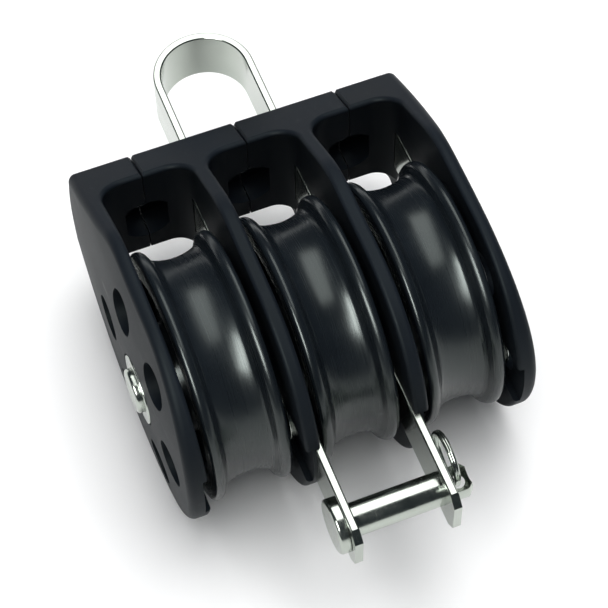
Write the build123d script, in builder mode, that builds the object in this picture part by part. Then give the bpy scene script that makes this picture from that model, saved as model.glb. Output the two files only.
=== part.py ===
from build123d import *
import os

# A triple pulley block lying on its back: three sheaves side by side on one riveted
# axle, four moulded cheeks, stainless straps, a fixed eye and a becket pin.
# X runs along the axle, +Y points at the eye, +Z is the block's front face.
# The origin is the middle of the surface that the block lies on. Millimetres.

# --- Driving dimensions ---
pitch = 20.0              # one sheave's middle to the next
cell_names = ("left", "middle", "right")

sheave_r = 23.0
groove_depth = 3.0
seat_rise = 0.9           # from the bottom of the rope seat to its creases
rim_width = 14.4
lip_width = 12.6          # between the peaks of the two flanges
lip_r = 0.9
flank_width = 8.6         # between the creases where the rope seat begins
web_width = 7.0
hub_r = 9.6
hub_side_gap = 0.2
spoke_r = 17.0
web_draft = 1.2           # the web's corners lean by this much

bush_r = 6.0
axle_r = 4.0
running_gap = 0.05        # radial, between a turning part and what it turns on

strap_t = 1.5
strap_w = 11.0
strap_proud = 0.4         # a strap stands this far out of its cheek
strap_gap = 16.5          # between the two straps of one cell
strap_edge_r = 0.3
slot_clearance = 0.1      # round a strap inside its recess

# Heights along the block, measured from the axle.
head_y = 41.2
bridge_y = 33.2
eye_centre_y = 56.8
end_foot_y = -24.8         # foot of an end cheek
partition_foot_y = -26.0
becket_pin_y = -37.3
strap_end_y = -43.5
strap_end_chamfer = 2.0
side_strap_top_y = 37.4
side_strap_foot_y = -18.5

head_half_depth = 10.0    # the head is slimmer than the belly
belly_half_depth = 23.6
head_corner_r = 1.5
shoulder_r = 18.0
foot_r = 23.5
head_slope = 0.54

crown_x = 33.5            # outer face of an end cheek at the axle
crown_front_r = 111.0     # the outer face falls away most towards the front
crown_back_r = 300.0
crown_along_r = 500.0
crown_swing = 7.5         # degrees of the dome turned to each side, more than enough
dome_depth = 20.0         # how far the dome's cutter reaches in from the crown
outer_edge_r = 1.5
mouth_edge_r = 0.7        # rounding round each rope opening
throat_corner_r = 4.6
lead_in_z = 9.3           # behind this each bridge slopes away from its rope, at 45 degrees
parting_gap = 0.12        # each half bridge stops short of the middle by this
parting_chamfer = 0.4

post_seat_r = 5.25        # unused seat for a swivel post, under each bridge
post_seat_depth = 5.0
post_hole_r = 3.0

rinse_hole_r = 4.3
rinse_hole_count = 6
rinse_pcd_r = 15.8

washer_r = 6.4
washer_t = 1.0
washer_seat_gap = 0.3
washer_edge = 0.25
boss_r = 4.1
boss_height = 1.2
boss_edge = 0.45

pin_r = 3.0
pin_head_r = 4.95
pin_head_t = 1.8
pin_head_edge = 0.6
pin_head_gap = 0.1
pin_tail_x = 13.6
pin_tail_chamfer = 0.8
pin_cross_x = 11.7
pin_cross_r = 1.25
pin_cross_chamfer = 0.6
ring_r = 4.8
ring_wire_r = 0.425
ring_turn_spacing = 0.8

# --- Worked out from the driving dimensions ---
strap_in = strap_gap / 2
strap_out = strap_in + strap_t
wall_in = strap_in + strap_proud
recess_half_width = strap_w / 2 + slot_clearance
tip_y = eye_centre_y + strap_out
axle_y = -(tip_y + strap_end_y) / 2
axle_z = belly_half_depth
axle_hole_r = axle_r + running_gap
end_x = pitch * (len(cell_names) - 1) / 2
shoulder_y = head_y - (belly_half_depth - head_half_depth) / head_slope
far = 100.0               # beyond every face of the block
tiny = 0.01

os.makedirs("parts", exist_ok=True)


# --- Planes and selectors ---
def across(x):
    """The plane square to the axle at x: its own x is +Y, its own y is +Z."""
    return Plane(origin=(x, axle_y, axle_z), x_dir=(0, 1, 0), z_dir=(1, 0, 0))


def flat(z):
    """The plane parallel to the front face, z above the axle."""
    return Plane(origin=(0, axle_y, axle_z + z), x_dir=(1, 0, 0), z_dir=(0, 0, 1))


def along(y):
    """The plane square to the block's length, y from the axle: its own y is -Z."""
    return Plane(origin=(0, axle_y + y, axle_z), x_dir=(1, 0, 0), z_dir=(0, 1, 0))


def at_x(edges, x):
    """The edges that lie in the plane square to the axle at x."""
    return edges.filter_by_position(Axis.X, x - tiny, x + tiny)


def save(part, name):
    """Labels a finished piece and writes its STEP file."""
    part.label = name
    export_step(part, "parts/" + name + ".step")


# --- Moulded cheeks ---
def cheek_outline(foot_y):
    """The outline of a cheek, seen along the axle."""
    half = [
        (head_y, head_half_depth),
        (shoulder_y, belly_half_depth),
        (foot_y, belly_half_depth),
    ]
    mirrored = [(y, -z) for y, z in reversed(half)]
    corner_radii = [head_corner_r, shoulder_r, foot_r]
    with BuildSketch() as outline:
        with BuildLine():
            FilletPolyline(
                *half, *mirrored, radius=corner_radii + corner_radii[::-1], close=True
            )
        make_face()
    return outline.sketch


def cell_mouth(cell_x, side):
    """The space of half a rope cell: side is the side that its wall stands on."""
    wall_x = cell_x + side * wall_in
    open_x = cell_x - side * parting_chamfer
    with BuildSketch(flat(-lead_in_z)) as mouth:
        with BuildLine():
            FilletPolyline(
                (open_x, -far), (wall_x, -far), (wall_x, bridge_y), (open_x, bridge_y),
                radius=throat_corner_r,
            )
            Line((open_x, bridge_y), (open_x, -far))
        make_face()
    lead_in = extrude(mouth.sketch, far, dir=(0, 1, -1), mode=Mode.PRIVATE)
    return extrude(mouth.sketch, far, both=True, mode=Mode.PRIVATE) + lead_in


def open_cell(cheek, cell_x, side):
    """Opens a cheek towards one cell, and rounds the new edges."""
    meet_x = cell_x + side * parting_gap
    meeting = at_x(cheek.edges(), meet_x)
    head_only = meeting.filter_by(lambda e: e.center().Y > axle_y + shoulder_y - shoulder_r)
    chamfer(head_only, length=parting_chamfer)
    add(cell_mouth(cell_x, side), mode=Mode.SUBTRACT)
    rim = cheek.edges(Select.LAST).filter_by(
        lambda e: abs(e.center().Z - axle_z) > 1 or e.length < 1
    )
    rim = rim.filter_by(lambda e: abs(e.center().Z - axle_z + lead_in_z) > tiny)
    rim = rim.filter_by(lambda e: abs(e.center().X - meet_x) > parting_chamfer + tiny)
    fillet(rim, radius=mouth_edge_r)


def seat_strap(cell_x, side, top_y):
    """Cuts the recess in a cell's wall that a strap lies in, up to top_y."""
    reach = strap_t + slot_clearance
    with BuildSketch(across(cell_x + side * strap_out)) as recess:
        with Locations(((top_y - far) / 2, 0)):
            Rectangle(top_y + far, 2 * recess_half_width)
    extrude(recess.sketch, -side * reach, mode=Mode.SUBTRACT)


def seat_post(cell_x):
    """Cuts half of the seat for a swivel post out of a half bridge."""
    for radius, depth in ((post_seat_r, post_seat_depth), (post_hole_r, far)):
        with BuildSketch(along(bridge_y)) as post_seat:
            with Locations((cell_x, 0)):
                Circle(radius)
        extrude(post_seat.sketch, depth, mode=Mode.SUBTRACT)


def bore_along(x, radius, amount):
    """Cuts a round hole along the axle, from x for amount."""
    with BuildSketch(across(x)) as bore:
        Circle(radius)
    extrude(bore.sketch, amount, mode=Mode.SUBTRACT)


def outer_dome():
    """The space under the right end cheek's domed outer face."""
    centre_x = crown_x - crown_along_r
    crown_y = axle_y + (head_y + end_foot_y) / 2
    first = Vector(1, 0, 0).rotate(Axis.Z, -crown_swing)
    start = Plane(
        origin=(centre_x, crown_y, axle_z), x_dir=first, z_dir=first.cross(Vector(0, 0, 1))
    )
    half_height = 2 * belly_half_depth
    inner = crown_along_r - dome_depth
    with BuildSketch(start) as section:
        with BuildLine():
            ends = []
            for radius, side in ((crown_front_r, 1), (crown_back_r, -1)):
                drop = radius - (radius**2 - half_height**2) ** 0.5
                ends.append((crown_along_r - drop, side * half_height))
                TangentArc((crown_along_r, 0), ends[-1], tangent=(0, side))
            Polyline(ends[0], (inner, half_height), (inner, -half_height), ends[1])
        make_face()
    turn_axis = Axis((centre_x, crown_y, axle_z), (0, 0, 1))
    return revolve(section.sketch, turn_axis, 2 * crown_swing, mode=Mode.PRIVATE)


with BuildPart() as end_cheek:
    with BuildSketch(across(end_x + parting_gap)):
        add(cheek_outline(end_foot_y))
    extrude(amount=crown_x - end_x)
    add(outer_dome(), mode=Mode.INTERSECT)
    outer = end_cheek.edges().filter_by(lambda e: e.center().X > end_x + wall_in)
    outer = outer.filter_by(lambda e: abs(e.center().Z - axle_z) > 1)
    fillet(outer, radius=outer_edge_r)
    open_cell(end_cheek, end_x, 1)
    seat_strap(end_x, 1, side_strap_top_y + slot_clearance)
    seat_post(end_x)
    bore_along(-far, axle_hole_r, 2 * far)
    bore_along(crown_x - washer_t, washer_r + washer_seat_gap, far)
    with BuildSketch(across(end_x + strap_in)):
        with PolarLocations(rinse_pcd_r, rinse_hole_count):
            Circle(rinse_hole_r)
    extrude(amount=strap_in, mode=Mode.SUBTRACT)

with BuildPart() as partition:
    with BuildSketch(across(parting_gap)):
        add(cheek_outline(partition_foot_y))
    extrude(amount=pitch - 2 * parting_gap)
    open_cell(partition, end_x, -1)
    open_cell(partition, 0, 1)
    seat_strap(end_x, -1, side_strap_top_y + slot_clearance)
    seat_strap(0, 1, far)
    seat_post(end_x)
    seat_post(0)
    bore_along(-far, axle_hole_r, 2 * far)


# --- Stainless straps ---
def side_strap(x):
    """A short strap, its low face at x, round at the foot."""
    foot_centre_y = side_strap_foot_y + strap_w / 2
    with BuildPart() as strap:
        with BuildSketch(across(x)):
            with Locations(((side_strap_top_y + foot_centre_y) / 2, 0)):
                Rectangle(side_strap_top_y - foot_centre_y, strap_w)
            with Locations((foot_centre_y, 0)):
                Circle(strap_w / 2)
        extrude(amount=strap_t)
        fillet(at_x(strap.edges(), x) + at_x(strap.edges(), x + strap_t), strap_edge_r)
        bore_along(-far, axle_hole_r, 2 * far)
    return strap.part


side_strap_places = {
    "left_outer_strap": -end_x - strap_out,
    "left_inner_strap": -end_x + strap_in,
    "right_inner_strap": end_x - strap_out,
    "right_outer_strap": end_x + strap_in,
}

with BuildPart() as bow_strap:
    leg_length = eye_centre_y - strap_end_y
    with BuildSketch(flat(-strap_w / 2)):
        for half_width, mode in ((strap_out, Mode.ADD), (strap_in, Mode.SUBTRACT)):
            with Locations((0, eye_centre_y - leg_length / 2)):
                Rectangle(2 * half_width, leg_length, mode=mode)
            with Locations((0, eye_centre_y)):
                Circle(half_width, mode=mode)
    extrude(amount=strap_w)
    leg_ends = bow_strap.faces().sort_by(Axis.Y)[:2]
    chamfer(leg_ends.edges().filter_by(Axis.X), length=strap_end_chamfer)
    broad_faces = bow_strap.faces().filter_by(Axis.Z)
    fillet(broad_faces.edges().filter_by(Axis.X, reverse=True), radius=strap_edge_r)
    with BuildSketch(across(-far)):
        Circle(axle_hole_r)
        with Locations((becket_pin_y, 0)):
            Circle(pin_r + running_gap)
    extrude(amount=2 * far, mode=Mode.SUBTRACT)


# --- Sheaves on their bushes, and the axle ---
def sheave(x):
    """A grooved sheave centred at x, turned from half of its section."""
    hub_half = strap_in - hub_side_gap
    rim_half = rim_width / 2
    web_half = web_width / 2
    lip_x = x + lip_width / 2
    seat_r = sheave_r - groove_depth
    bore_r = bush_r + running_gap
    crease = (x + flank_width / 2, seat_r + seat_rise)
    with BuildPart() as wheel:
        with BuildSketch(flat(0)):
            with BuildLine():
                Polyline(
                    (x, seat_r), (x, bore_r), (x + hub_half, bore_r), (x + hub_half, hub_r),
                    (x + web_half, hub_r + web_draft), (x + web_half, spoke_r),
                    (x + rim_half, spoke_r + web_draft), (x + rim_half, sheave_r - lip_r),
                )
                ThreePointArc(
                    (x + rim_half, sheave_r - lip_r), (lip_x, sheave_r),
                    (lip_x - lip_r, sheave_r - lip_r / 2),
                )
                Line((lip_x - lip_r, sheave_r - lip_r / 2), crease)
                TangentArc((x, seat_r), crease, tangent=(1, 0))
            make_face()
            mirror(about=Plane(origin=(x, 0, 0), z_dir=(1, 0, 0)))
        revolve(axis=Axis((0, axle_y, axle_z), (1, 0, 0)))
    return wheel.part


def spacer_bush(x):
    """The tube that keeps two straps apart and that a sheave turns on."""
    with BuildPart() as tube:
        with BuildSketch(across(x - strap_in)):
            Circle(bush_r)
            Circle(axle_hole_r, mode=Mode.SUBTRACT)
        extrude(amount=strap_gap)
    return tube.part


with BuildPart() as axle_washer:
    with BuildSketch(across(crown_x)):
        Circle(washer_r)
    extrude(amount=-washer_t)
    fillet(at_x(axle_washer.edges(), crown_x), radius=washer_edge)
    bore_along(-far, axle_hole_r, 2 * far)

with BuildPart() as axle:
    with BuildSketch(across(-crown_x)):
        Circle(axle_r)
    extrude(amount=2 * crown_x)
    for side in (-1, 1):
        with BuildSketch(across(side * crown_x)):
            Circle(boss_r)
        extrude(amount=side * boss_height)
        fillet(at_x(axle.edges(), side * (crown_x + boss_height)), radius=boss_edge)


# --- Becket pin and its split ring ---
with BuildPart() as becket_pin:
    head_x = -strap_out - pin_head_gap
    with BuildSketch(across(head_x)):
        with Locations((becket_pin_y, 0)):
            Circle(pin_r)
    extrude(amount=pin_tail_x - head_x)
    chamfer(at_x(becket_pin.edges(), pin_tail_x), length=pin_tail_chamfer)
    with BuildSketch(across(head_x)):
        with Locations((becket_pin_y, 0)):
            Circle(pin_head_r)
    extrude(amount=-pin_head_t)
    fillet(at_x(becket_pin.edges(), head_x - pin_head_t), radius=pin_head_edge)
    with Locations(flat(0) * Location((pin_cross_x, becket_pin_y, 0))):
        Cylinder(pin_cross_r, 2 * pin_r, mode=Mode.SUBTRACT)
    for turned in (0, 180):
        with Locations(flat(0) * Location((pin_cross_x, becket_pin_y, 0), (turned, 0, 0))):
            Cone(
                pin_cross_r, pin_cross_r + pin_r, pin_r + pin_cross_chamfer,
                align=(Align.CENTER, Align.CENTER, Align.MIN), mode=Mode.SUBTRACT,
            )

with BuildPart() as split_ring:
    ring_centre_y = becket_pin_y + ring_r
    with BuildSketch(flat(0)):
        for half in (-0.5, 0.5):
            with Locations((pin_cross_x + half * ring_turn_spacing, ring_centre_y + ring_r)):
                Circle(ring_wire_r)
    revolve(axis=Axis((0, axle_y + ring_centre_y, axle_z), (1, 0, 0)))


# --- Every piece to its own file ---
paired = {"end_cheek": end_cheek, "partition": partition, "axle_washer": axle_washer}
for name, piece in paired.items():
    save(piece.part, "right_" + name)
    save(mirror(piece.part, about=Plane.YZ), "left_" + name)

for name, x in side_strap_places.items():
    save(side_strap(x), name)

for number, name in enumerate(cell_names):
    save(sheave(number * pitch - end_x), name + "_sheave")
    save(spacer_bush(number * pitch - end_x), name + "_bush")

save(bow_strap.part, "bow_strap")
save(axle.part, "axle")
save(becket_pin.part, "becket_pin")
save(split_ring.part, "split_ring")
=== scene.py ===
from math import pi, radians, tau

import bmesh
import bpy
from bpy.props import FloatProperty, FloatVectorProperty, IntProperty, PointerProperty
from mathutils import Matrix, Vector


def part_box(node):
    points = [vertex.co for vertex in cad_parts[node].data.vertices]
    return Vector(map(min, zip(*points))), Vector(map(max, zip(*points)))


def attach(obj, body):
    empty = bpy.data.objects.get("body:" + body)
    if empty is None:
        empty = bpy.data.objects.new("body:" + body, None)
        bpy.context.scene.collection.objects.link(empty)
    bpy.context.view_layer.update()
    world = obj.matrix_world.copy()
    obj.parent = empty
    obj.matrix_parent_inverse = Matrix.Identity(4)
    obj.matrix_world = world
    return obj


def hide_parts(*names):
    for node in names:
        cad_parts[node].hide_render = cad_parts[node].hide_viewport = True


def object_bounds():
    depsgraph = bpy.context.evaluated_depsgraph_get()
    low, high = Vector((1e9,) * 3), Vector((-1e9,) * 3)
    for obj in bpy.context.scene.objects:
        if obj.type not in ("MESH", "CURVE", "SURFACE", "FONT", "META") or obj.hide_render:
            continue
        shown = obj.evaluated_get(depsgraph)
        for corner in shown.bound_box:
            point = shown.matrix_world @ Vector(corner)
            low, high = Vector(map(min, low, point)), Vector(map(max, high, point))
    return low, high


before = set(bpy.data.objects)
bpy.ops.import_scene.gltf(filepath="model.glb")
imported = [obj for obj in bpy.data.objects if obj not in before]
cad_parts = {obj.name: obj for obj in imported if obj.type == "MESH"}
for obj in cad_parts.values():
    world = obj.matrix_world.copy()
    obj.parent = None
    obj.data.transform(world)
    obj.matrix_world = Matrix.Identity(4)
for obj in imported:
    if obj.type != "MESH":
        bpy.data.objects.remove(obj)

bl_info = {
    "name": "Triple Block Finish",
    "version": (1, 0, 0),
    "blender": (4, 5, 0),
    "location": "View3D > Sidebar > Block",
    "description": "Finishes a triple pulley block round its fixed frame",
    "category": "Object",
}

CAD_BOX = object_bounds()
CELLS = ("left", "middle", "right")
CHEEKS = ("left_end_cheek", "left_partition", "right_partition", "right_end_cheek")
STRAPS = (
    "left_outer_strap", "left_inner_strap", "right_inner_strap", "right_outer_strap", "bow_strap",
)
MM = 0.001
RUNNING_GAP = 0.05 * MM       # radial, between a turning piece and what it turns on
MERGE_DISTANCE = 1e-7
SHARP_ANGLE = radians(38)     # a mesh's edges look sharp beyond this
STEEL_STEPS = 96              # flat faces round a turned steel piece


def node_middle(node):
    """The middle of a CAD node's box."""
    low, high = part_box(node)
    return (low + high) / 2


def node_size(node):
    """The size of a CAD node's box."""
    low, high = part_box(node)
    return high - low


AXLE_CENTRE = node_middle("axle")
SHEAVE_R = node_size("middle_sheave").z / 2
HUB_HALF = node_size("middle_sheave").x / 2
BUSH_R = node_size("middle_bush").z / 2
WASHER_R = node_size("right_axle_washer").z / 2
RING_R = node_size("split_ring").z / 2

# A sheave's section: radii are counted from the bush, the flange's top or the rope seat.
HUB_WALL = 3.6 * MM
RIM_DEPTH = 6.0 * MM
WEB_DRAFT = 1.2 * MM
LIP_WIDTH = 1.8 * MM
CREASE_HALF = 4.3 * MM        # from the sheave's middle to the crease beside the rope seat
CREASE_RISE = 0.95 * MM
SEAT_HALF = 2.3 * MM
# Where each corner's rounding starts, in millimetres from it, and its segments.
SHEAVE_ROUNDINGS = [
    (0.15, 2), (0.5, 3), (0.9, 4), (0.9, 4), (0.4, 3), (0.85, 6), (0.85, 6), (0.5, 5), (2.1, 9),
]

# The axle's formed ends.
FORMED_LIP = 0.1 * MM         # the ends are this much larger in radius than the shaft
DIMPLE_FLOOR_R = 1.3 * MM
DIMPLE_MOUTH_R = 2.2 * MM
AXLE_ROUNDINGS = {1: (0.5, 4), 2: (0.4, 4), 3: (0.6, 6)}
WASHER_ROUNDING = (0.18 * MM, 3)

# The stage. Each softbox has a direction from the axle, a distance, a size and a brightness.
FLOOR_GAP = 0.0002
ROOM_COLOUR = (0.72, 0.88, 1.0, 1)
LARGE_BOX = ((0.16, 0.38, 0.91), 0.80, (0.40, 0.92), 2.9)
SMALL_BOX = ((-0.46, -0.42, 0.78), 0.70, (0.24, 0.44), 16.0)
FLOOR_WASH = ((0, 0, 1), 1.50, (2.0, 2.0), 2.5)
CAMERA_RIGHT = Vector((0.93015, -0.36715, -0.00502))
CAMERA_FORWARD = Vector((0.19107, 0.49564, -0.84725))
CAMERA_FROM_AXLE = Vector((-0.07072, -0.18693, 0.34332))
CAMERA_SHIFT = (-0.0276, -0.0794)


# --- Sizes and colours that a user would change ---
class BLOCK_PG_plastic(bpy.types.PropertyGroup):
    """The moulded cheeks and the turned sheaves."""

    cheek_colour: FloatVectorProperty(
        name="Cheek colour", description="Colour of the moulded cheeks",
        default=(0.0062, 0.0084, 0.0122), subtype="COLOR", size=3, min=0, max=1,
    )
    cheek_roughness: FloatProperty(
        name="Cheek roughness", description="How matt the cheeks are",
        default=0.50, min=0, max=1, subtype="FACTOR",
    )
    grain: FloatProperty(
        name="Grain", description="Size of the mould's fine grain",
        default=0.16 * MM, min=0, unit="LENGTH", precision=5,
    )
    sheave_colour: FloatVectorProperty(
        name="Sheave colour", description="Colour of the sheaves",
        default=(0.0062, 0.0084, 0.0112), subtype="COLOR", size=3, min=0, max=1,
    )
    sheave_roughness: FloatProperty(
        name="Sheave roughness", description="How matt the sheaves are",
        default=0.27, min=0, max=1, subtype="FACTOR",
    )
    bush_colour: FloatVectorProperty(
        name="Bush colour", description="Colour of the bushes under the sheaves",
        default=(0.30, 0.29, 0.26), subtype="COLOR", size=3, min=0, max=1,
    )


class BLOCK_PG_steel(bpy.types.PropertyGroup):
    """The stainless straps, axle, pin and ring."""

    colour: FloatVectorProperty(
        name="Steel colour", description="Colour of the stainless steel",
        default=(0.44, 0.475, 0.43), subtype="COLOR", size=3, min=0, max=1,
    )
    roughness: FloatProperty(
        name="Steel roughness", description="How worn the polish is",
        default=0.16, min=0, max=1, subtype="FACTOR",
    )
    ring_wire: FloatProperty(
        name="Ring wire", description="Diameter of the split ring's wire",
        default=0.85 * MM, min=0, unit="LENGTH", precision=5,
    )
    ring_pitch: FloatProperty(
        name="Ring pitch", description="How far the wire's ends lie apart, along the pin",
        default=0.80 * MM, min=0, unit="LENGTH", precision=5,
    )
    rivet_dimple: FloatProperty(
        name="Rivet dimple", description="Depth of the dimple in each end of the axle",
        default=0.35 * MM, min=0, unit="LENGTH", precision=5,
    )


class BLOCK_PG_sheave(bpy.types.PropertyGroup):
    """The section of a sheave."""

    rim_half: FloatProperty(
        name="Rim half width", description="From the sheave's middle to its rim's side",
        default=7.2 * MM, min=0, unit="LENGTH", precision=5,
    )
    groove_depth: FloatProperty(
        name="Groove depth", description="From the top of a flange to the rope seat",
        default=3.0 * MM, min=0, unit="LENGTH", precision=5,
    )
    web_half: FloatProperty(
        name="Web half width", description="From the sheave's middle to its web's side",
        default=3.5 * MM, min=0, unit="LENGTH", precision=5,
    )
    steps: IntProperty(
        name="Steps", description="Flat faces round a sheave", default=180, min=12,
    )


class BLOCK_PG_stage(bpy.types.PropertyGroup):
    """The floor, the lights and the camera."""

    floor_colour: FloatVectorProperty(
        name="Floor colour", description="Colour of the pale floor",
        default=(0.96, 0.96, 0.96), subtype="COLOR", size=3, min=0, max=1,
    )
    floor_size: FloatProperty(
        name="Floor size", description="Length of the floor's side",
        default=6.0, min=0, unit="LENGTH",
    )
    lens: FloatProperty(
        name="Lens", description="Focal length of the camera in millimetres",
        default=131.6, min=1,
    )
    room_light: FloatProperty(
        name="Room light", description="Strength of the light from the room",
        default=0.05, min=0,
    )


# --- Materials ---
def new_material(name):
    """A new node material, its node tree and its shader."""
    material = bpy.data.materials.new(name)
    material.use_nodes = True
    tree = material.node_tree
    tree.nodes.clear()
    shader = tree.nodes.new("ShaderNodeBsdfPrincipled")
    output = tree.nodes.new("ShaderNodeOutputMaterial")
    tree.links.new(shader.outputs["BSDF"], output.inputs["Surface"])
    return material, tree, shader


def add_node(tree, kind, values=None, links=None):
    """Adds a node, sets its sockets to values and links others into it."""
    node = tree.nodes.new(kind)
    for socket, value in (values or {}).items():
        node.inputs[socket].default_value = value
    for socket, source in (links or {}).items():
        tree.links.new(source, node.inputs[socket])
    return node


def place(tree, scale=(1, 1, 1), centre=(0, 0, 0)):
    """Object coordinates, centred and scaled, as a socket."""
    coordinates = add_node(tree, "ShaderNodeTexCoord")
    mapping = add_node(
        tree, "ShaderNodeMapping",
        {"Scale": scale, "Location": [-c * s for c, s in zip(centre, scale)]},
        {"Vector": coordinates.outputs["Object"]},
    )
    return mapping.outputs["Vector"]


def noise(tree, vector, scale, detail=3.0, roughness=0.5):
    """A noise pattern's value as a socket."""
    node = add_node(
        tree, "ShaderNodeTexNoise",
        {"Scale": scale, "Detail": detail, "Roughness": roughness}, {"Vector": vector},
    )
    return node.outputs["Fac"]


def spread(tree, value, low, high, start=0.3, stop=0.7):
    """A value stretched from start..stop to low..high."""
    node = add_node(
        tree, "ShaderNodeMapRange",
        {"From Min": start, "From Max": stop, "To Min": low, "To Max": high}, {"Value": value},
    )
    return node.outputs["Result"]


def maths(tree, operation, *values):
    """A maths node's result, its inputs being sockets or numbers."""
    node = tree.nodes.new("ShaderNodeMath")
    node.operation = operation
    for socket, value in zip(node.inputs, values):
        if isinstance(value, (int, float)):
            socket.default_value = value
        else:
            tree.links.new(value, socket)
    return node.outputs[0]


def shades(tree, value, dark, light):
    """A colour between dark and light as a socket."""
    node = tree.nodes.new("ShaderNodeMix")
    node.data_type = "RGBA"
    colours = [socket for socket in node.inputs if socket.type == "RGBA"]
    colours[0].default_value = (*dark, 1)
    colours[1].default_value = (*light, 1)
    tree.links.new(value, node.inputs["Factor"])
    return [socket for socket in node.outputs if socket.type == "RGBA"][0]


def bump(tree, shader, height, distance, strength, under=None):
    """Bumps a shader's surface by height, over an earlier bump if one is given."""
    links = {"Height": height}
    if under:
        links["Normal"] = under.outputs["Normal"]
    node = add_node(
        tree, "ShaderNodeBump", {"Distance": distance, "Strength": strength}, links
    )
    tree.links.new(node.outputs["Normal"], shader.inputs["Normal"])
    return node


def tinted(colour, factor):
    """A colour made lighter or darker."""
    return [min(1, c * factor) for c in colour]


def moulded_nylon(plastic):
    """Black glass-filled nylon: satin, finely grained, scuffed a little."""
    material, tree, shader = new_material("moulded_nylon")
    space = place(tree)
    grain = noise(tree, space, scale=1 / plastic.grain, detail=4, roughness=0.6)
    flow = noise(tree, place(tree, (1, 0.35, 1)), scale=55, detail=3, roughness=0.55)
    scuffs = noise(tree, place(tree, (1, 0.12, 0.6)), scale=900, detail=4, roughness=0.65)
    worn = spread(tree, scuffs, 0, 1, start=0.60, stop=0.74)
    colour = shades(
        tree, spread(tree, flow, 0, 1),
        tinted(plastic.cheek_colour, 0.80), tinted(plastic.cheek_colour, 1.30),
    )
    tree.links.new(colour, shader.inputs["Base Color"])
    base = plastic.cheek_roughness
    varied = spread(tree, flow, base - 0.04, base + 0.06)
    tree.links.new(
        maths(tree, "SUBTRACT", varied, maths(tree, "MULTIPLY", worn, 0.08)),
        shader.inputs["Roughness"],
    )
    shader.inputs["IOR"].default_value = 1.50
    shader.inputs["Specular IOR Level"].default_value = 0.12
    shader.inputs["Specular Tint"].default_value = (0.86, 1.0, 0.93, 1)
    first = bump(tree, shader, grain, distance=plastic.grain * 0.35, strength=0.35)
    bump(tree, shader, worn, distance=plastic.grain * 0.2, strength=0.25, under=first)
    return material


def turned_acetal(plastic):
    """Black acetal off a lathe: fine rings round the axle over a soft gloss."""
    material, tree, shader = new_material("turned_acetal")
    centred = place(tree, centre=AXLE_CENTRE)
    parts = add_node(tree, "ShaderNodeSeparateXYZ", links={"Vector": centred})
    radius = maths(
        tree, "SQRT",
        maths(
            tree, "ADD",
            maths(tree, "POWER", parts.outputs["Y"], 2),
            maths(tree, "POWER", parts.outputs["Z"], 2),
        ),
    )
    section = add_node(
        tree, "ShaderNodeCombineXYZ", links={"X": parts.outputs["X"], "Y": radius}
    )
    turning = noise(tree, section.outputs["Vector"], scale=5200, detail=3, roughness=0.6)
    soft = noise(tree, centred, scale=70, detail=3, roughness=0.55)
    dust = noise(tree, centred, scale=2600, detail=4, roughness=0.7)
    specks = spread(tree, dust, 0, 1, start=0.66, stop=0.76)
    colour = shades(
        tree, spread(tree, soft, 0, 1),
        tinted(plastic.sheave_colour, 0.85), tinted(plastic.sheave_colour, 1.25),
    )
    tree.links.new(colour, shader.inputs["Base Color"])
    base = plastic.sheave_roughness
    rings = spread(tree, turning, base - 0.05, base + 0.05)
    clouded = maths(tree, "ADD", rings, spread(tree, soft, -0.03, 0.05))
    tree.links.new(
        maths(tree, "ADD", clouded, maths(tree, "MULTIPLY", specks, 0.12)),
        shader.inputs["Roughness"],
    )
    shader.inputs["IOR"].default_value = 1.52
    shader.inputs["Specular Tint"].default_value = (0.90, 1.0, 0.95, 1)
    bump(tree, shader, turning, distance=0.02 * MM, strength=0.08)
    return material


def bearing_plastic(plastic):
    """Pale bearing plastic, slightly mottled."""
    material, tree, shader = new_material("bearing_plastic")
    mottle = noise(tree, place(tree), scale=400, detail=4, roughness=0.6)
    colour = shades(
        tree, spread(tree, mottle, 0, 1),
        tinted(plastic.bush_colour, 0.85), tinted(plastic.bush_colour, 1.1),
    )
    tree.links.new(colour, shader.inputs["Base Color"])
    tree.links.new(spread(tree, mottle, 0.36, 0.5), shader.inputs["Roughness"])
    bump(tree, shader, mottle, distance=0.02 * MM, strength=0.2)
    return material


def stainless(steel, name, line_scale):
    """Polished stainless steel: fine lines, drawn out along the axis that line_scale is least on."""
    material, tree, shader = new_material(name)
    lines = noise(tree, place(tree, line_scale), scale=1, detail=3, roughness=0.65)
    smudge = noise(tree, place(tree), scale=160, detail=3, roughness=0.6)
    colour = shades(
        tree, spread(tree, smudge, 0, 1),
        tinted(steel.colour, 0.94), tinted(steel.colour, 1.04),
    )
    tree.links.new(colour, shader.inputs["Base Color"])
    shader.inputs["Metallic"].default_value = 1.0
    base = steel.roughness
    fine = spread(tree, lines, base - 0.05, base + 0.07)
    tree.links.new(
        maths(tree, "ADD", fine, spread(tree, smudge, -0.02, 0.06)), shader.inputs["Roughness"]
    )
    bump(tree, shader, lines, distance=0.01 * MM, strength=0.10)
    return material


# --- Mesh helpers ---
def finished(mesh, name, body, node, material):
    """Turns a bmesh into a smooth piece that stands for a CAD node."""
    bmesh.ops.remove_doubles(mesh, verts=mesh.verts, dist=MERGE_DISTANCE)
    bmesh.ops.recalc_face_normals(mesh, faces=mesh.faces)
    data = bpy.data.meshes.new(name)
    mesh.to_mesh(data)
    mesh.free()
    data.materials.append(material)
    data.shade_smooth()
    data.set_sharp_from_angle(angle=SHARP_ANGLE)
    piece = bpy.data.objects.new(name, data)
    bpy.context.scene.collection.objects.link(piece)
    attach(piece, body)
    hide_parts(node)


def wire(mesh, points, closed):
    """A chain of edges through points, and its vertices."""
    verts = [mesh.verts.new(point) for point in points]
    for first, second in zip(verts, verts[1:]):
        mesh.edges.new((first, second))
    if closed:
        mesh.edges.new((verts[-1], verts[0]))
    return verts


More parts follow.
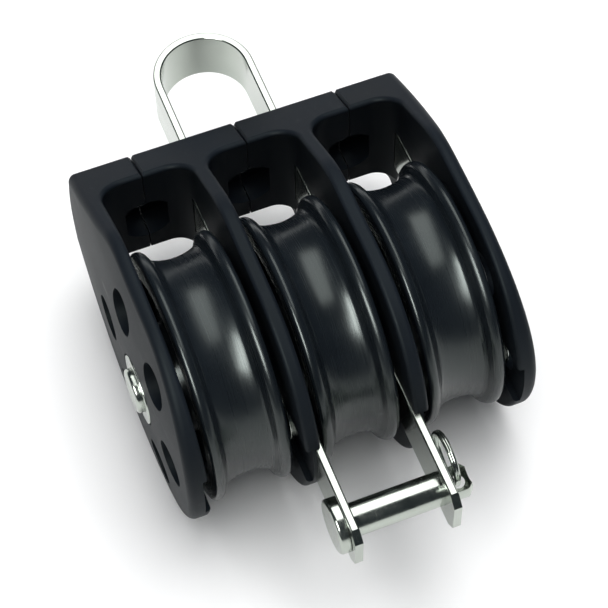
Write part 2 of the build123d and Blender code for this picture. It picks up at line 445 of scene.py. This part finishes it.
def round_corner(mesh, vert, setback, segments):
    """Rounds one corner of a wire, starting setback away from it."""
    bmesh.ops.bevel(
        mesh, geom=[vert], offset=setback, offset_type="OFFSET", segments=segments,
        profile=0.5, affect="VERTICES", material=-1,
    )


def turned(points, corners, centre, steps, closed=True):
    """A solid turned about the axle's direction from (along, radius) points.

    corners gives, for a point's number, how far from it the rounding starts and in
    how many segments.
    """
    mesh = bmesh.new()
    places = [centre + Vector((along, 0, radius)) for along, radius in points]
    verts = wire(mesh, places, closed)
    for number, (setback, segments) in corners.items():
        round_corner(mesh, verts[number], setback, segments)
    bmesh.ops.spin(
        mesh, geom=mesh.verts[:] + mesh.edges[:], cent=centre, axis=(1, 0, 0),
        angle=tau, steps=steps, use_merge=True, use_duplicate=False,
    )
    return mesh


def mirrored(half):
    """A section's points in (along, radius), followed by their mirror image."""
    return half + [(-along, radius) for along, radius in reversed(half)]


def both_sides(roundings, count):
    """Roundings by point number, repeated on the mirror image of count points in all."""
    corners = {}
    for number, (setback, segments) in roundings.items():
        corners[number] = (setback * MM, segments)
        corners[count - 1 - number] = (setback * MM, segments)
    return corners


def dress(node, material):
    """Gives a CAD node its material."""
    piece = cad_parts[node]
    piece.data.materials.clear()
    piece.data.materials.append(material)


def shared(name, make, *values):
    """A material by name, made on first use."""
    return bpy.data.materials.get(name) or make(*values)


# --- Operators ---
class BLOCK_OT_cheeks(bpy.types.Operator):
    """Give the moulded cheeks their plastic"""

    bl_idname = "block.cheeks"
    bl_label = "Finish the cheeks"

    def execute(self, context):
        plastic = context.scene.block_plastic
        material = shared("moulded_nylon", moulded_nylon, plastic)
        for node in CHEEKS:
            dress(node, material)
        return {"FINISHED"}


class BLOCK_OT_straps(bpy.types.Operator):
    """Give the straps their polished steel"""

    bl_idname = "block.straps"
    bl_label = "Finish the straps"

    def execute(self, context):
        steel = context.scene.block_steel
        material = shared("strap_steel", stainless, steel, "strap_steel", (2500, 60, 2500))
        for node in STRAPS:
            dress(node, material)
        return {"FINISHED"}


class BLOCK_OT_sheaves(bpy.types.Operator):
    """Turn the three sheaves and dress the bushes that they run on"""

    bl_idname = "block.sheaves"
    bl_label = "Turn the sheaves"

    def execute(self, context):
        plastic = context.scene.block_plastic
        sizes = context.scene.block_sheave
        material = shared("turned_acetal", turned_acetal, plastic)
        bush = shared("bearing_plastic", bearing_plastic, plastic)
        for cell in CELLS:
            mesh = self.sheave(node_middle(cell + "_sheave"), sizes)
            finished(
                mesh, cell + "_turned_sheave", cell + "_sheave", cell + "_sheave",
                material,
            )
            dress(cell + "_bush", bush)
        return {"FINISHED"}

    def sheave(self, centre, sizes):
        """The sheave's mesh: hub, web, rim, two flanges and a round rope seat."""
        seat_r = SHEAVE_R - sizes.groove_depth
        bore_r = BUSH_R + RUNNING_GAP
        hub_r = BUSH_R + HUB_WALL
        spoke_r = SHEAVE_R - RIM_DEPTH
        web = sizes.web_half
        rim = sizes.rim_half
        points = mirrored([
            (HUB_HALF, bore_r), (HUB_HALF, hub_r), (web, hub_r + WEB_DRAFT), (web, spoke_r),
            (rim, spoke_r + WEB_DRAFT), (rim, SHEAVE_R), (rim - LIP_WIDTH, SHEAVE_R),
            (CREASE_HALF, seat_r + CREASE_RISE), (SEAT_HALF, seat_r),
        ])
        corners = both_sides(dict(enumerate(SHEAVE_ROUNDINGS)), len(points))
        return turned(points, corners, centre, sizes.steps)


class BLOCK_OT_axle(bpy.types.Operator):
    """Turn the riveted axle and the washers under its ends"""

    bl_idname = "block.axle"
    bl_label = "Turn the axle and washers"

    def execute(self, context):
        steel = context.scene.block_steel
        material = shared("turned_steel", stainless, steel, "turned_steel", (3000, 900, 900))
        low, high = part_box("axle")
        half = (high.x - low.x) / 2
        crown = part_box("right_axle_washer")[1].x
        boss_r = (high.z - low.z) / 2
        shaft_r = boss_r - FORMED_LIP
        dimple = steel.rivet_dimple
        points = mirrored([
            (half - dimple, 0), (half - dimple, DIMPLE_FLOOR_R), (half, DIMPLE_MOUTH_R),
            (half, boss_r), (crown, boss_r), (crown, shaft_r),
        ])
        corners = both_sides(AXLE_ROUNDINGS, len(points))
        mesh = turned(points, corners, AXLE_CENTRE, STEEL_STEPS, closed=False)
        finished(mesh, "riveted_axle", "block_frame", "axle", material)
        for name in ("left_axle_washer", "right_axle_washer"):
            self.washer(name, shaft_r, material)
        return {"FINISHED"}

    def washer(self, node, shaft_r, material):
        """One washer with softened edges."""
        low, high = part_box(node)
        outer = (high.x - low.x) / 2
        hole_r = shaft_r + RUNNING_GAP
        points = [(-outer, hole_r), (outer, hole_r), (outer, WASHER_R), (-outer, WASHER_R)]
        corners = {number: WASHER_ROUNDING for number in range(len(points))}
        mesh = turned(points, corners, node_middle(node), STEEL_STEPS)
        finished(
            mesh, node.replace("axle_washer", "rivet_washer"), "block_frame", node, material,
        )


class BLOCK_OT_becket(bpy.types.Operator):
    """Dress the becket pin and wind its split ring"""

    bl_idname = "block.becket"
    bl_label = "Finish the becket pin and ring"

    def execute(self, context):
        steel = context.scene.block_steel
        material = shared("turned_steel", stainless, steel, "turned_steel", (3000, 900, 900))
        dress("becket_pin", material)
        finished(
            self.ring(steel), "wound_split_ring", "split_ring", "split_ring", material,
        )
        return {"FINISHED"}

    def ring(self, steel):
        """Two turns of round wire, wound as one spring with flat ends.

        The turns lie closer than the wire is thick, as the CAD rings do, so they run
        into each other.
        """
        wire_r = steel.ring_wire / 2
        centre = node_middle("split_ring")
        turn_r = RING_R - wire_r
        turns = 2
        steps = 60
        mesh = bmesh.new()
        start = Matrix.Translation(centre + Vector((-steel.ring_pitch / 2, turn_r, 0)))
        bmesh.ops.create_circle(
            mesh, cap_ends=True, segments=16, radius=wire_r, matrix=start,
        )
        drop = (node_size("split_ring").x - steel.ring_wire) / (turns * steps)
        bmesh.ops.spin(
            mesh, geom=mesh.verts[:] + mesh.edges[:] + mesh.faces[:], cent=centre,
            axis=(1, 0, 0), dvec=(drop, 0, 0), angle=turns * tau, steps=turns * steps,
            use_merge=False, use_duplicate=False,
        )
        return mesh


class BLOCK_OT_stage(bpy.types.Operator):
    """Set the pale floor, the soft lights and the camera"""

    bl_idname = "block.stage"
    bl_label = "Set the stage"

    def execute(self, context):
        stage = context.scene.block_stage
        context.scene.view_settings.view_transform = "Standard"
        self.floor(stage)
        self.lights(stage)
        self.camera(stage)
        return {"FINISHED"}

    def floor(self, stage):
        """A plain pale floor under the block."""
        mesh = bmesh.new()
        bmesh.ops.create_grid(mesh, x_segments=1, y_segments=1, size=stage.floor_size / 2)
        data = bpy.data.meshes.new("floor")
        mesh.to_mesh(data)
        mesh.free()
        material, _, shader = new_material("floor")
        shader.inputs["Base Color"].default_value = (*stage.floor_colour, 1)
        shader.inputs["Roughness"].default_value = 0.9
        data.materials.append(material)
        floor = bpy.data.objects.new("floor", data)
        floor.location.z = CAD_BOX[0][2] - FLOOR_GAP
        bpy.context.scene.collection.objects.link(floor)

    def lights(self, stage):
        """An even room and three soft boxes."""
        world = bpy.data.worlds.new("room")
        bpy.context.scene.world = world
        world.use_nodes = True
        background = world.node_tree.nodes["Background"]
        background.inputs["Color"].default_value = ROOM_COLOUR
        background.inputs["Strength"].default_value = stage.room_light
        self.softbox("large_box", *LARGE_BOX)
        streak = self.softbox("small_box", *SMALL_BOX)
        streak.visible_diffuse = False
        wash = self.softbox("floor_wash", *FLOOR_WASH)
        wash.visible_glossy = False

    def softbox(self, name, direction, distance, size, brightness):
        """A rectangular light that faces the block, its long side along the block."""
        light = bpy.data.lights.new(name, "AREA")
        light.shape = "RECTANGLE"
        light.size, light.size_y = size
        light.energy = brightness * pi * size[0] * size[1]
        lamp = bpy.data.objects.new(name, light)
        away = Vector(direction).normalized()
        side = Vector((0, 1, 0)).cross(away).normalized()
        turn = Matrix((side, away.cross(side), away)).transposed().to_4x4()
        lamp.matrix_world = Matrix.Translation(AXLE_CENTRE + away * distance) @ turn
        bpy.context.scene.collection.objects.link(lamp)
        return lamp

    def camera(self, stage):
        """The camera, above the foot of the block and to its left."""
        up = CAMERA_RIGHT.cross(CAMERA_FORWARD)
        data = bpy.data.cameras.new("camera")
        data.sensor_width = 36
        data.lens = stage.lens
        data.shift_x, data.shift_y = CAMERA_SHIFT
        data.clip_start = 0.01
        camera = bpy.data.objects.new("camera", data)
        turn = Matrix((CAMERA_RIGHT, up, -CAMERA_FORWARD)).transposed().to_4x4()
        camera.matrix_world = Matrix.Translation(AXLE_CENTRE + CAMERA_FROM_AXLE) @ turn
        bpy.context.scene.collection.objects.link(camera)
        bpy.context.scene.camera = camera


class BLOCK_PT_sidebar(bpy.types.Panel):
    """The block's steps and sizes in the sidebar"""

    bl_idname = "BLOCK_PT_sidebar"
    bl_label = "Triple block"
    bl_space_type = "VIEW_3D"
    bl_region_type = "UI"
    bl_category = "Block"

    def draw(self, context):
        layout = self.layout
        for operator in OPERATORS:
            layout.operator(operator.bl_idname)
        for name in SETTINGS:
            box = layout.box()
            group = getattr(context.scene, name)
            for key in group.__annotations__:
                box.prop(group, key)


SETTINGS = {
    "block_plastic": BLOCK_PG_plastic,
    "block_steel": BLOCK_PG_steel,
    "block_sheave": BLOCK_PG_sheave,
    "block_stage": BLOCK_PG_stage,
}
OPERATORS = (
    BLOCK_OT_cheeks, BLOCK_OT_straps, BLOCK_OT_sheaves, BLOCK_OT_axle, BLOCK_OT_becket,
    BLOCK_OT_stage,
)


def register():
    for name, group in SETTINGS.items():
        bpy.utils.register_class(group)
        setattr(bpy.types.Scene, name, PointerProperty(type=group))
    for operator in OPERATORS:
        bpy.utils.register_class(operator)
    bpy.utils.register_class(BLOCK_PT_sidebar)


def unregister():
    bpy.utils.unregister_class(BLOCK_PT_sidebar)
    for operator in reversed(OPERATORS):
        bpy.utils.unregister_class(operator)
    for name, group in reversed(SETTINGS.items()):
        delattr(bpy.types.Scene, name)
        bpy.utils.unregister_class(group)


def main():
    """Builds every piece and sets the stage."""
    register()
    bpy.ops.block.cheeks()
    bpy.ops.block.straps()
    bpy.ops.block.sheaves()
    bpy.ops.block.axle()
    bpy.ops.block.becket()
    bpy.ops.block.stage()


if __name__ == "__main__":
    main()
